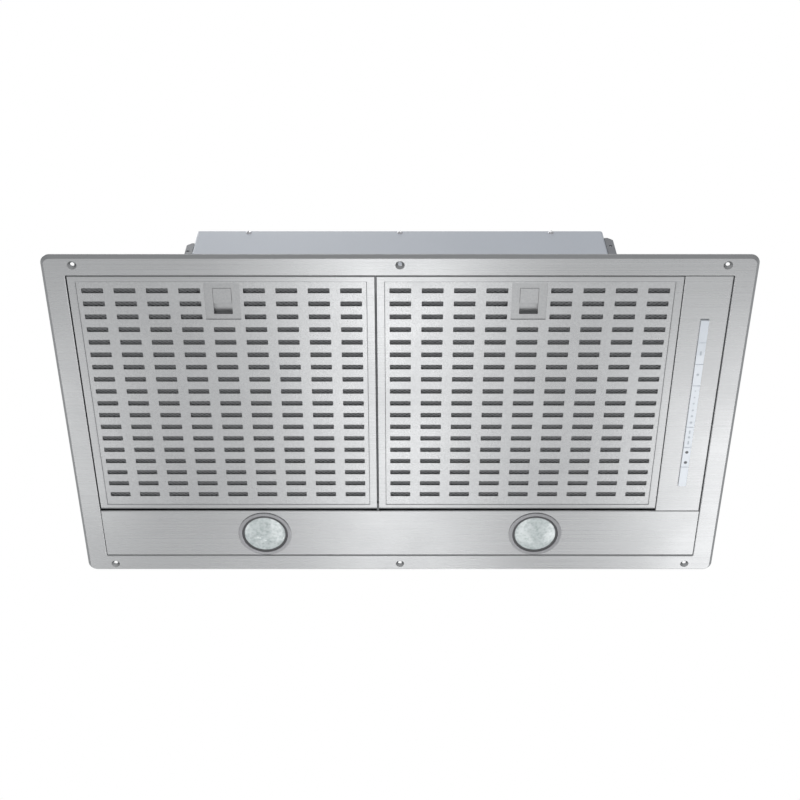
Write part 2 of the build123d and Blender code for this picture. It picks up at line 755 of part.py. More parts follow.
def latch_spring():
    """A small coil between the slider's lug and the pocket's post."""
    path = Helix(pitch=SPRING_L / SPRING_TURNS, height=SPRING_L, radius=SPRING_R)
    section = Plane(origin=path @ 0, z_dir=path % 0) * Circle(SPRING_WIRE)
    coil = sweep(section, path=path)
    return Plane(origin=(0, SPRING_START, LATCH_TOP - 1.2), z_dir=(0, 1, 0)) * coil


# Blower box ---------------------------------------------------------------------------------


def base_screw_points():
    """Screws through the box's foot flange into the tray."""
    foot = BOX_FLANGE / 2
    ends = [(x, y) for x in BASE_SCREW_X for y in (BOX_Y[0] - foot, BOX_Y[1] + foot)]
    return ends + [(x, y) for x in (-BOX_X - foot, BOX_X + foot) for y in BASE_SCREW_Y]


def wall_screws():
    """Seat and direction of each screw through the box walls into the lid's skirt."""
    z = BOX_TOP - SCREW_DROP
    seats = []
    for x in (-SCREW_X, 0.0, SCREW_X):
        seats += [((x, BOX_Y[0], z), (0, -1, 0)), ((x, BOX_Y[1], z), (0, 1, 0))]
    for y in LID_SCREW_Y:
        seats += [((-BOX_X, y, z), (-1, 0, 0)), ((BOX_X, y, z), (1, 0, 0))]
    return seats


def hanger_screws():
    return [
        ((side * (BOX_X + HANGER_T), HANGER_SCREW_Y, top - drop), (side, 0, 0))
        for side, top in HANGER_TOP.items()
        for drop in HANGER_SCREW_DROPS
    ]


def collar_screws():
    turns = [2 * math.pi * (step + 0.5) / COLLAR_SCREWS for step in range(COLLAR_SCREWS)]
    radius, z = COLLAR_SCREW_R, BOX_TOP + SHEET
    return [((radius * math.cos(a), COLLAR_Y + radius * math.sin(a), z), (0, 0, 1)) for a in turns]


def terminal_screws():
    z = sum(TERMINAL_Z) / 2
    face = BOX_X + TERMINAL_DEEP + TERMINAL_COVER_T
    ends = (TERMINAL_Y[0] + TERMINAL_SCREW_IN, TERMINAL_Y[1] - TERMINAL_SCREW_IN)
    return [((face, y, z), (1, 0, 0)) for y in ends]


def all_screws():
    base = [((x, y, TRAY_TOP + SHEET), (0, 0, 1)) for x, y in base_screw_points()]
    return base + wall_screws() + hanger_screws() + collar_screws() + terminal_screws()


def screw_hole(seat, towards, depth, radius=SHANK_R):
    start, way = Vector(*seat), Vector(*towards)
    a, b = start + way * 0.5, start - way * depth
    return rod(radius, tuple(a), tuple(b))


def blower_box():
    """The folded sheet box round the blower, open at its top and foot."""
    middle = sum(BOX_Y) / 2
    half_y = (BOX_Y[1] - BOX_Y[0]) / 2
    wall = ring_wall(BOX_X - SHEET, half_y - SHEET, (TRAY_TOP, BOX_TOP), BOX_CORNER - SHEET, SHEET)
    foot = ring_wall(
        BOX_X - SHEET, half_y - SHEET, (TRAY_TOP, TRAY_TOP + SHEET), BOX_CORNER - SHEET, BOX_FLANGE + SHEET
    )
    box = Pos(0, middle, 0) * (wall + foot)
    for seat, towards in wall_screws():
        box -= screw_hole(seat, towards, 2 * SHEET)
    for (x, y, z), towards in hanger_screws():
        box -= screw_hole((x, y, z), towards, 4 * SHEET)
    for x, y in base_screw_points():
        box -= rod(SHANK_R, (x, y, TRAY_TOP - 1), (x, y, TRAY_TOP + 2))
    return box


def box_lid():
    """The lid inside the box walls, with a skirt for the screws and the exhaust hole."""
    middle = sum(BOX_Y) / 2
    half_y = (BOX_Y[1] - BOX_Y[0]) / 2 - SHEET
    half_x = BOX_X - SHEET
    corner = BOX_CORNER - SHEET
    lid = extrude(plate_outline(half_x, half_y, BOX_TOP - SHEET, corner), SHEET)
    skirt_z = (BOX_TOP - LID_SKIRT, BOX_TOP - SHEET)
    lid += ring_wall(half_x - SHEET, half_y - SHEET, skirt_z, corner - SHEET, SHEET)
    lid = Pos(0, middle, 0) * lid
    lid -= rod(COLLAR_R - COLLAR_T, (0, COLLAR_Y, BOX_TOP - 2 * SHEET), (0, COLLAR_Y, BOX_TOP + 1))
    for seat, towards in wall_screws():
        lid -= screw_hole(seat, towards, 4 * SHEET)
    for (x, y, z), towards in collar_screws():
        lid -= screw_hole((x, y, z), towards, 4 * SHEET)
    return lid


def hanger(side, top):
    """A bent lug on the side wall, by which the hood hangs from a strap while it is fitted."""
    foot_x = sorted((side * BOX_X, side * (BOX_X + HANGER_T)))
    ear_x = sorted((side * BOX_X, side * (BOX_X + HANGER_W[side])))
    ear_y = (HANGER_Y[0], HANGER_Y[0] + HANGER_EAR_T)
    z = (top - HANGER_H, top)
    lug = block(foot_x, HANGER_Y, z)
    ear = block(ear_x, ear_y, z)
    outer = ear.faces().sort_by(Axis.X)[0 if side < 0 else -1].edges().filter_by(Axis.Y)
    lug += chamfer(outer.sort_by(Axis.Z)[-1], HANGER_CHAMFER)
    hole_x, hole_z = side * (BOX_X + HANGER_HOLE_X), top - HANGER_HOLE_DROP
    lug -= rod(HANGER_HOLE_R, (hole_x, ear_y[0] - 1, hole_z), (hole_x, ear_y[1] + 1, hole_z))
    for seat, towards in hanger_screws():
        if seat[0] * side > 0:
            lug -= screw_hole(seat, towards, 3.0)
    return lug


# Blower -------------------------------------------------------------------------------------


def scroll_region(inset):
    """The spiral outline with its outlet going straight up to the lid."""
    radii = [radius - inset for radius in reversed(SCROLL_R)]
    mean = [(a + b) / 2 for a, b in zip(radii, radii[1:])]

    def at(radius, angle):
        turn = math.radians(angle)
        return (AXIS_Y + radius * math.cos(turn), AXIS_Z + radius * math.sin(turn))

    top = BOX_TOP - SHEET + (inset > 0) * 1.0
    right = AXIS_Y + radii[0]
    left = AXIS_Y + inset
    arcs = [
        ThreePointArc(at(radii[i], -90 * i), at(mean[i], -90 * i - 45), at(radii[i + 1], -90 * i - 90))
        for i in range(3)
    ]
    throat = at(radii[3], -270)
    edges = [
        Line((left, top), (right, top)),
        Line((right, top), at(radii[0], 0)),
        *arcs,
        Line(throat, (left, throat[1])) if inset else None,
        Line((left, throat[1]), (left, top)),
    ]
    return make_face([edge for edge in edges if edge])


def along_x(face, low, high):
    """Extrudes an outline drawn in Y and Z from one X to another."""
    plane = Plane(origin=(low, 0, 0), x_dir=(0, 1, 0), z_dir=(1, 0, 0))
    return extrude(plane * face, high - low)


def scroll_casing():
    """The wrap of the scroll and its left side plate."""
    casing = along_x(scroll_region(0), -SCROLL_HALF, SCROLL_HALF - SCROLL_T)
    casing -= along_x(scroll_region(SCROLL_T), -SCROLL_HALF + SCROLL_T, SCROLL_HALF)
    return casing - rod(INLET_R, (-SCROLL_HALF - 1, AXIS_Y, AXIS_Z), (-SCROLL_HALF + 3, AXIS_Y, AXIS_Z))


def scroll_cover():
    """The right side plate of the scroll."""
    cover = along_x(scroll_region(0), SCROLL_HALF - SCROLL_T, SCROLL_HALF)
    return cover - rod(INLET_R, (SCROLL_HALF - 3, AXIS_Y, AXIS_Z), (SCROLL_HALF + 1, AXIS_Y, AXIS_Z))


def inlet_ring(side):
    """The rounded mouth of one inlet."""
    face, deep = side * SCROLL_HALF, side * (WHEEL_HALF + INLET_GAP)
    outer = side * (SCROLL_HALF + INLET_T)
    bore = INLET_R - INLET_T
    ring = tube(INLET_R + INLET_RIM, bore, (face, AXIS_Y, AXIS_Z), (outer, AXIS_Y, AXIS_Z))
    ring = fillet(ring.faces().sort_by(Axis.X)[0 if side < 0 else -1].edges(), INLET_T * 0.4)
    return ring + tube(INLET_R, bore, (deep, AXIS_Y, AXIS_Z), (face, AXIS_Y, AXIS_Z))


def blade_outline():
    """One forward-curved blade, seen along the shaft."""
    middle = (WHEEL_INNER + WHEEL_R) / 2

    def at(radius, degrees):
        turn = math.radians(degrees)
        return (radius * math.cos(turn), radius * math.sin(turn))

    lead = ThreePointArc(at(WHEEL_INNER, 0), at(middle, 1.4), at(WHEEL_R - 0.5, 6.0))
    tip = Line(at(WHEEL_R - 0.5, 6.0), at(WHEEL_R - 0.5, 7.2))
    back = ThreePointArc(at(WHEEL_R - 0.5, 7.2), at(middle, 2.8), at(WHEEL_INNER, 1.4))
    root = Line(at(WHEEL_INNER, 1.4), at(WHEEL_INNER, 0))
    return make_face([lead, tip, back, root])


def impeller_wheel():
    """The two-sided squirrel-cage wheel on its centre disc and hub."""
    blade = extrude(Pos(0, 0, -WHEEL_HALF) * blade_outline(), 2 * WHEEL_HALF)
    blades = [Rot(0, 0, 360 / BLADES * step) * blade for step in range(BLADES)]
    disc = WHEEL_DISC_T / 2
    wheel = rod(WHEEL_R, (0, 0, -disc), (0, 0, disc)) + rod(HUB_R, (0, 0, HUB_X[0]), (0, 0, HUB_X[1]))
    for side in (-1, 1):
        z = sorted((side * WHEEL_HALF, side * (WHEEL_HALF - WHEEL_RING_T)))
        wheel += tube(WHEEL_R, WHEEL_INNER - 0.5, (0, 0, z[0]), (0, 0, z[1]))
    wheel = wheel + blades
    wheel -= rod(SHAFT_R, (0, 0, -WHEEL_HALF), (0, 0, WHEEL_HALF))
    return Plane(origin=(0, AXIS_Y, AXIS_Z), x_dir=(0, 1, 0), z_dir=(1, 0, 0)) * wheel


def motor_shaft():
    """The shaft with the motor's rotor on it."""
    shaft = rod(SHAFT_R, (HUB_X[0], AXIS_Y, AXIS_Z), (MOTOR_X[1] + 4.0, AXIS_Y, AXIS_Z))
    rotor_x = (MOTOR_X[0] + 2 * MOTOR_END, MOTOR_X[1] - 2 * MOTOR_END)
    return shaft + rod(ROTOR_R, (rotor_x[0], AXIS_Y, AXIS_Z), (rotor_x[1], AXIS_Y, AXIS_Z))


def motor_housing():
    """The motor's can, with an opening at each end for a bearing."""
    low, high = MOTOR_X
    can = rod(MOTOR_R, (low, AXIS_Y, AXIS_Z), (high, AXIS_Y, AXIS_Z))
    inside = (low + MOTOR_END, high - MOTOR_END)
    can -= rod(MOTOR_R - MOTOR_WALL, (inside[0], AXIS_Y, AXIS_Z), (inside[1], AXIS_Y, AXIS_Z))
    return can - rod(BEARING_R, (low - 1, AXIS_Y, AXIS_Z), (high + 1, AXIS_Y, AXIS_Z))


def motor_bearings():
    bore = SHAFT_R + SHAFT_CLEARANCE
    low, high = MOTOR_X
    spans = ((low, low + MOTOR_END), (high - MOTOR_END, high))
    return [tube(BEARING_R, bore, (a, AXIS_Y, AXIS_Z), (b, AXIS_Y, AXIS_Z)) for a, b in spans]


def motor_bracket():
    """A band round the motor with three arms to the scroll cover."""
    low, high = SCROLL_HALF + INLET_T, SCROLL_HALF + INLET_T + BRACKET_T
    bracket = tube(MOTOR_R + 3, MOTOR_R, (MOTOR_X[1] - 8, AXIS_Y, AXIS_Z), (high, AXIS_Y, AXIS_Z))
    for step in range(3):
        arm = block((low, high), BRACKET_ARM, (MOTOR_R + 1, BRACKET_REACH))
        arm += block((SCROLL_HALF, high), BRACKET_ARM, (INLET_R + INLET_RIM + 1, BRACKET_REACH))
        bracket += Pos(0, AXIS_Y, AXIS_Z) * Rot(120 * step + 180, 0, 0) * arm
    return bracket


def capacitor():
    """The motor's run capacitor, standing on the tray."""
    can = rod(CAPACITOR_R, (*CAPACITOR_AT, TRAY_TOP), (*CAPACITOR_AT, TRAY_TOP + CAPACITOR_H))
    return fillet(can.faces().sort_by(Axis.Z)[-1].edges(), CAPACITOR_EDGE)


# Exhaust ------------------------------------------------------------------------------------


def exhaust_collar():
    """The duct spigot with its flange, a stop bead and the ledge that the flaps rest on."""
    centre = (0, COLLAR_Y)
    top = BOX_TOP + COLLAR_H
    collar = tube(COLLAR_R, COLLAR_R - COLLAR_T, (*centre, BOX_TOP), (*centre, top))
    bore, reach = COLLAR_R - COLLAR_T, COLLAR_R + 1
    collar += tube(COLLAR_FLANGE_R, bore, (*centre, BOX_TOP), (*centre, BOX_TOP + SHEET))
    collar += tube(COLLAR_R + BEAD_PROUD, COLLAR_R - 0.5, (*centre, BEAD_Z[0]), (*centre, BEAD_Z[1]))
    ledge = tube(*LEDGE_R, (*centre, LEDGE_Z[0]), (*centre, LEDGE_Z[1]))
    collar += ledge - block((-reach, reach), span(COLLAR_Y, LEDGE_BREAK[0]), span(FLAP_Z, LEDGE_BREAK[1]))
    collar -= rod(FLAP_PIN_R, (-reach, COLLAR_Y, FLAP_Z), (reach, COLLAR_Y, FLAP_Z))
    for (x, y, z), towards in collar_screws():
        collar -= screw_hole((x, y, z), towards, 3.0)
    return collar


def damper_pin():
    return rod(FLAP_PIN_R, (-COLLAR_R, COLLAR_Y, FLAP_Z), (COLLAR_R, COLLAR_Y, FLAP_Z))


def damper_flap(side):
    """Half of the non-return flap. Its two knuckles interleave with the other half's."""
    radius = COLLAR_R - COLLAR_T - FLAP_PLAY
    plate = rod(radius, (0, 0, -FLAP_T / 2), (0, 0, FLAP_T / 2))
    plate &= block((-radius, radius), (KNUCKLE_R + 0.5, radius), (-FLAP_T, FLAP_T))
    for low in KNUCKLE_STARTS:
        high = low + KNUCKLE_L
        plate += block((low, high), (KNUCKLE_R - 1.0, KNUCKLE_R + 1.0), (-FLAP_T / 2, FLAP_T / 2))
        plate += rod(KNUCKLE_R, (low, 0, 0), (high, 0, 0))
    plate -= rod(FLAP_PIN_R + FLAP_PIN_CLEARANCE, (-radius, 0, 0), (radius, 0, 0))
    return Pos(0, COLLAR_Y, FLAP_Z) * Rot(0, 0, 0 if side > 0 else 180) * plate


# Terminal box ---------------------------------------------------------------------------------


def terminal_box():
    """A small moulded box on the right wall, open where its cover goes."""
    x = (BOX_X, BOX_X + TERMINAL_DEEP)
    shell = block(x, TERMINAL_Y, TERMINAL_Z)
    upright = shell.edges().filter_by(Axis.X)
    shell = fillet(upright, TERMINAL_CORNER)
    wall = TERMINAL_WALL
    inside = [(low + wall, high - wall) for low, high in (TERMINAL_Y, TERMINAL_Z)]
    shell -= block((x[0] + wall, x[1] + 1), *inside)
    for (sx, sy, sz), _ in terminal_screws():
        shell += rod(TERMINAL_BOSS_R, (x[0] + wall - 0.5, sy, sz), (x[1], sy, sz))
        shell -= rod(SHANK_R, (x[1] - TERMINAL_BOSS_HOLE, sy, sz), (x[1] + 1, sy, sz))
    gx, gz = gland_axis()
    return shell - rod(GLAND_R + GLAND_WALL, (gx, TERMINAL_Y[1] - 4, gz), (gx, TERMINAL_Y[1] + 1, gz))


def terminal_cover():
    x = (BOX_X + TERMINAL_DEEP, BOX_X + TERMINAL_DEEP + TERMINAL_COVER_T)
    cover = block(x, TERMINAL_Y, TERMINAL_Z)
    cover = fillet(cover.edges().filter_by(Axis.X), TERMINAL_CORNER)
    for seat, towards in terminal_screws():
        cover -= screw_hole(seat, towards, 3.0)
    return cover


def gland_axis():
    return (BOX_X + GLAND_AT[0], sum(TERMINAL_Z) / 2 + GLAND_AT[1])


def cable_gland():
    """The threaded gland that the supply lead comes in through."""
    x, z = gland_axis()
    wall = TERMINAL_Y[1]
    inner, hexagon, outer = wall - GLAND_IN, wall + GLAND_HEX_L, wall + GLAND_CAP_L
    gland = rod(GLAND_R + GLAND_WALL, (x, inner, z), (x, wall, z))
    gland += along_y(RegularPolygon(GLAND_HEX_R, 6), x, z, wall, hexagon)
    gland += rod(GLAND_CAP_R, (x, hexagon, z), (x, outer, z))
    gland = fillet(gland.faces().sort_by(Axis.Y)[-1].edges(), GLAND_EDGE)
    gland -= rod(GLAND_R, (x, inner - 1, z), (x, outer + 1, z))
    return gland


def along_y(outline, x, z, low, high):
    plane = Plane(origin=(x, low, z), x_dir=(1, 0, 0), z_dir=(0, 1, 0))
    return extrude(plane * outline, high - low)


# Assembly -------------------------------------------------------------------------------------


def place(solids, x):
    """Moves a filter piece, or a list of them, to its filter's centre."""
    pieces = solids if isinstance(solids, list) else [solids]
    return [Pos(x, 0, 0) * piece for piece in pieces]


def write_housing():
    save("flange_plate", flange_plate())
    save("seal_gasket", seal_gasket())
    save("plenum_tray", plenum_tray())
    save("divider_bar", divider_bar())
    save("hinge_rail", hinge_rail())
    save("blower_box", blower_box())
    save("box_lid", box_lid())
    save("left_hanger", hanger(-1, HANGER_TOP[-1]))
    save("right_hanger", hanger(1, HANGER_TOP[1]))
    save("dome_screws", *[dome_screw(seat, towards) for seat, towards in all_screws()])
    save("terminal_box", terminal_box())
    save("terminal_cover", terminal_cover())
    save("cable_gland", cable_gland())


def write_lamps():
    save("light_panel", light_panel())
    for name, (x, y) in zip(("left", "right"), lamp_points()):
        save(f"lamp_{name}_trim", lamp_trim(x, y))
        save(f"lamp_{name}_lens", lamp_lens(x, y))
    save("lamp_seals", *[lamp_seal(x, y) for x, y in lamp_points()])
    save("lamp_reflectors", *[lamp_reflector(x, y) for x, y in lamp_points()])
    save("lamp_housings", *[lamp_housing(x, y) for x, y in lamp_points()])
    save("lamp_clips", *[clip for x, y in lamp_points() for clip in lamp_clips(x, y)])


def write_controls():
    save("control_panel", control_panel())
    save("key_carrier", key_carrier())
    save("display_window", display_window())
    save("key_mat", key_mat())
    save("control_board", control_board())
    for name, module in KEYS.items():
        save(name, control_key(module))


def write_filters():
    frame, grille, mesh = filter_frame(), filter_grille(), filter_mesh()
    back, pegs, pocket = filter_back_grille(), filter_pegs(), latch_pocket()
    slider, spring = latch_slider(), latch_spring()
    for name, x in FILTER_X.items():
        save(f"filter_{name}_frame", *place(frame, x))
        save(f"filter_{name}_grille", *place(grille, x))
        save(f"filter_{name}_mesh", *place(mesh, x))
        save(f"filter_{name}_back_grille", *place(back, x))
        save(f"filter_{name}_hinge_pegs", *place(pegs, x))
        save(f"filter_{name}_latch_pocket", *place(pocket, x))
        save(f"latch_{name}_slider", *place(slider, x))
        save(f"latch_{name}_spring", *place(spring, x))


def write_blower():
    save("scroll_casing", scroll_casing())
    save("scroll_cover", scroll_cover())
    save("inlet_rings", inlet_ring(-1), inlet_ring(1))
    save("impeller_wheel", impeller_wheel())
    save("motor_shaft", motor_shaft())
    save("motor_housing", motor_housing())
    save("motor_bearings", *motor_bearings())
    save("motor_bracket", motor_bracket())
    save("capacitor", capacitor())


def write_exhaust():
    save("exhaust_collar", exhaust_collar())
    save("damper_pin", damper_pin())
    save("flap_front", damper_flap(-1))
    save("flap_rear", damper_flap(1))


os.makedirs("parts", exist_ok=True)
write_housing()
write_lamps()
write_controls()
write_filters()
write_blower()
write_exhaust()
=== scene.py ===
import json
import math

import bmesh
import bpy
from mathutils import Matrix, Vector


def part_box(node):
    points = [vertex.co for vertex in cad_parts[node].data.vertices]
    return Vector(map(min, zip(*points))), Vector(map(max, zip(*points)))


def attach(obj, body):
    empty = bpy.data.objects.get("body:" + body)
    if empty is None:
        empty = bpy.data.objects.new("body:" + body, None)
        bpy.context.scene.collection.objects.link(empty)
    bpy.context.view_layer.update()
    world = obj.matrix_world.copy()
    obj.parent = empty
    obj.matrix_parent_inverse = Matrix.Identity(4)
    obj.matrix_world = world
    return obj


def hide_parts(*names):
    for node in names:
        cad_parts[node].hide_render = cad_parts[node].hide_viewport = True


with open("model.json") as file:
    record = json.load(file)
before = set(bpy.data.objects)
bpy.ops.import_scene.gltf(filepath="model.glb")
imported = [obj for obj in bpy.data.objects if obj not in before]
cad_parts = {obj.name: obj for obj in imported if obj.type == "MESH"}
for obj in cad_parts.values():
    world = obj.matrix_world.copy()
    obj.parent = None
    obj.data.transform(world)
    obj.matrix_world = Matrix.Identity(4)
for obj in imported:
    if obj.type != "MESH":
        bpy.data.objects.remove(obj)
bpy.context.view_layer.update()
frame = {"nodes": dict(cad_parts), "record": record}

MM = 0.001

# Material helpers --------------------------------------------------------------------------


class Nodes:
    """Builds one material's node tree."""

    def __init__(self, name):
        self.material = bpy.data.materials.new(name)
        self.material.use_nodes = True
        self.tree = self.material.node_tree
        self.tree.nodes.clear()
        output = self.add("ShaderNodeOutputMaterial")
        self.shader = self.add("ShaderNodeBsdfPrincipled")
        self.link(self.shader.outputs[0], output.inputs["Surface"])

    def add(self, kind, **settings):
        node = self.tree.nodes.new(kind)
        for key, value in settings.items():
            setattr(node, key, value)
        return node

    def link(self, source, target):
        self.tree.links.new(source, target)

    def position(self, scale):
        """The point in the object's own space, in metres, times a scale for each axis."""
        place = self.add("ShaderNodeTexCoord")
        mapping = self.add("ShaderNodeMapping")
        mapping.inputs["Scale"].default_value = scale
        self.link(place.outputs["Object"], mapping.inputs["Vector"])
        return mapping.outputs["Vector"]

    def noise(self, scale, detail=2.0, rough=0.5, stretch=(1, 1, 1)):
        noise = self.add("ShaderNodeTexNoise")
        noise.inputs["Scale"].default_value = scale
        noise.inputs["Detail"].default_value = detail
        noise.inputs["Roughness"].default_value = rough
        self.link(self.position(stretch), noise.inputs["Vector"])
        return noise.outputs["Fac"]

    def voronoi(self, scale, feature="F1", output="Distance"):
        cells = self.add("ShaderNodeTexVoronoi", feature=feature)
        cells.inputs["Scale"].default_value = scale
        self.link(self.position((1, 1, 1)), cells.inputs["Vector"])
        return cells.outputs[output]

    def remap(self, value, low, high, start=0.3, end=0.7):
        spread = self.add("ShaderNodeMapRange")
        spread.inputs["From Min"].default_value = start
        spread.inputs["From Max"].default_value = end
        spread.inputs["To Min"].default_value = low
        spread.inputs["To Max"].default_value = high
        self.link(value, spread.inputs["Value"])
        return spread.outputs["Result"]

    def sum(self, a, b):
        node = self.add("ShaderNodeMath", operation="ADD")
        self.link(a, node.inputs[0])
        self.link(b, node.inputs[1])
        return node.outputs[0]

    def ramp(self, value, stops):
        ramp = self.add("ShaderNodeValToRGB")
        elements = ramp.color_ramp.elements
        while len(elements) < len(stops):
            elements.new(0.5)
        for element, (place, colour) in zip(elements, stops):
            element.position = place
            element.color = (*colour, 1.0)
        self.link(value, ramp.inputs["Fac"])
        return ramp.outputs["Color"]

    def mix(self, fac, source, colour):
        """Fades from a linked colour to a constant one."""
        mix = self.add("ShaderNodeMix", data_type="RGBA")
        self.link(fac, mix.inputs[0])
        self.link(source, mix.inputs[6])
        mix.inputs[7].default_value = (*colour, 1.0)
        return mix.outputs[2]

    def bump(self, heights):
        """Stacks bumps, each a height value and the depth in metres that it stands for."""
        normal = None
        for value, depth in heights:
            bump = self.add("ShaderNodeBump")
            bump.inputs["Distance"].default_value = depth
            self.link(value, bump.inputs["Height"])
            if normal:
                self.link(normal, bump.inputs["Normal"])
            normal = bump.outputs["Normal"]
        self.link(normal, self.shader.inputs["Normal"])

    def set(self, **values):
        names = {
            "metallic": "Metallic",
            "ior": "IOR",
            "coat": "Coat Weight",
            "coat_rough": "Coat Roughness",
            "transmission": "Transmission Weight",
            "glow": "Emission Strength",
        }
        for key, value in values.items():
            self.shader.inputs[names[key]].default_value = value

    def colour(self, value):
        self.link(value, self.shader.inputs["Base Color"])

    def rough(self, value):
        self.link(value, self.shader.inputs["Roughness"])


def shade(colour, factor):
    return tuple(min(1.0, c * factor) for c in colour)


def brushed(name, colour, rough, depth=0.5e-5, haze=0.03):
    """Rolled stainless steel with fine straight brush lines along X."""
    n = Nodes(name)
    lines = n.noise(1.0, 3.0, 0.6, stretch=(1.6, 1400, 1400))
    bands = n.noise(1.0, 2.0, 0.5, stretch=(0.8, 260, 260))
    cloud = n.noise(7.0, 3.0, 0.55)
    tint = n.ramp(lines, [(0.32, shade(colour, 0.96)), (0.68, shade(colour, 1.03))])
    tint = n.mix(n.remap(bands, 0.0, 0.2), tint, shade(colour, 0.95))
    n.colour(tint)
    streak = n.remap(lines, rough - haze, rough + haze)
    n.rough(n.sum(streak, n.remap(cloud, -0.025, 0.03)))
    n.bump([(lines, depth), (bands, depth)])
    n.set(metallic=1.0)
    return n.material


def grained(name, colour, rough, depth=3.0e-5):
    """Pressed stainless steel with an even, directionless grain."""
    n = Nodes(name)
    grain = n.noise(1500.0, 2.0, 0.6)
    patch = n.noise(420.0, 2.0, 0.5)
    cloud = n.noise(9.0, 3.0, 0.5)
    tint = n.ramp(patch, [(0.35, shade(colour, 0.95)), (0.65, shade(colour, 1.04))])
    n.colour(tint)
    n.rough(n.sum(n.remap(grain, rough - 0.03, rough + 0.03), n.remap(cloud, -0.03, 0.03)))
    n.bump([(grain, depth), (patch, depth * 1.5)])
    n.set(metallic=1.0)
    return n.material


def zinc(name, colour, rough):
    """Galvanised sheet with its faint spangle."""
    n = Nodes(name)
    cells = n.voronoi(140.0, output="Color")
    split = n.add("ShaderNodeSeparateColor")
    n.link(cells, split.inputs[0])
    spangle = split.outputs[0]
    n.colour(n.ramp(spangle, [(0.0, shade(colour, 0.86)), (1.0, shade(colour, 1.1))]))
    n.rough(n.remap(spangle, rough - 0.06, rough + 0.08, 0.0, 1.0))
    n.bump([(n.noise(600.0, 3.0), 2.0e-5)])
    n.set(metallic=0.85)
    return n.material


def painted(name, colour, rough, texture=420.0, depth=4.0e-5, coat=0.0):
    """Baked paint or powder coat with a slight orange peel."""
    n = Nodes(name)
    peel = n.noise(texture, 2.0, 0.5)
    cloud = n.noise(5.0, 3.0, 0.5)
    n.colour(n.ramp(cloud, [(0.3, shade(colour, 0.96)), (0.7, shade(colour, 1.03))]))
    n.rough(n.sum(n.remap(peel, rough - 0.03, rough + 0.04), n.remap(cloud, -0.03, 0.03)))
    n.bump([(peel, depth)])
    n.set(coat=coat, coat_rough=0.15)
    return n.material


def plastic(name, colour, rough, texture=900.0, depth=3.0e-5):
    """Moulded plastic with a spark-eroded texture."""
    n = Nodes(name)
    spark = n.noise(texture, 3.0, 0.6)
    n.colour(n.ramp(spark, [(0.3, shade(colour, 0.93)), (0.7, shade(colour, 1.06))]))
    n.rough(n.remap(spark, rough - 0.05, rough + 0.06))
    n.bump([(spark, depth)])
    return n.material


def metal(name, colour, rough, texture=500.0, depth=2.0e-5, spread=0.05):
    """Turned, plated or cast metal with fine marks."""
    n = Nodes(name)
    marks = n.noise(texture, 3.0, 0.6)
    n.colour(n.ramp(marks, [(0.3, shade(colour, 0.93)), (0.7, shade(colour, 1.05))]))
    n.rough(n.remap(marks, rough - spread, rough + spread))
    n.bump([(marks, depth)])
    n.set(metallic=1.0)
    return n.material


def gloss(name, colour):
    """The pale, glassy plastic of the key strip, with a faint painted glow although it is no lamp."""
    n = Nodes(name)
    waves = n.noise(60.0, 2.0, 0.5)
    n.colour(n.ramp(waves, [(0.3, shade(colour, 0.985)), (0.7, shade(colour, 1.01))]))
    n.rough(n.remap(waves, 0.10, 0.16))
    n.bump([(waves, 1.0e-5)])
    # Painted light: a faint white emission lightens the strip.
    n.shader.inputs["Emission Color"].default_value = (0.93, 0.97, 1.0, 1.0)
    n.set(coat=0.6, coat_rough=0.04, glow=0.02)
    return n.material


def foam(name, colour):
    """Closed-cell foam with open pores at its cut faces."""
    n = Nodes(name)
    cells = n.voronoi(900.0)
    n.colour(n.ramp(cells, [(0.1, shade(colour, 0.6)), (0.6, shade(colour, 1.15))]))
    n.rough(n.remap(cells, 0.8, 0.95, 0.0, 1.0))
    n.bump([(cells, 2.0e-4)])
    return n.material


def pebble_glass(name):
    """Clear glass, pebbled and slightly green, as a lamp cover. It lets little light through: its pale
    colour is painted light in place of the bright reflector seen through it, and its near-white flecks
    are painted sparkle.
    """
    n = Nodes(name)
    cells = n.voronoi(300.0, feature="SMOOTH_F1")
    cloud = n.noise(150.0, 2.0)
    # Painted light: the pale tint and the near-white flecks between the pebbles.
    pale = n.ramp(cloud, [(0.3, (0.40, 0.47, 0.465)), (0.7, (0.62, 0.69, 0.685))])
    n.colour(n.mix(n.remap(cells, 0.0, 0.35, 0.1, 0.6), pale, (0.95, 0.98, 0.98)))
    n.rough(n.remap(cloud, 0.06, 0.14))
    n.bump([(cells, 1.0e-4)])
    n.set(transmission=0.15, ior=1.5, coat=1.0, coat_rough=0.03)
    return n.material


STEEL = (0.37, 0.373, 0.377)

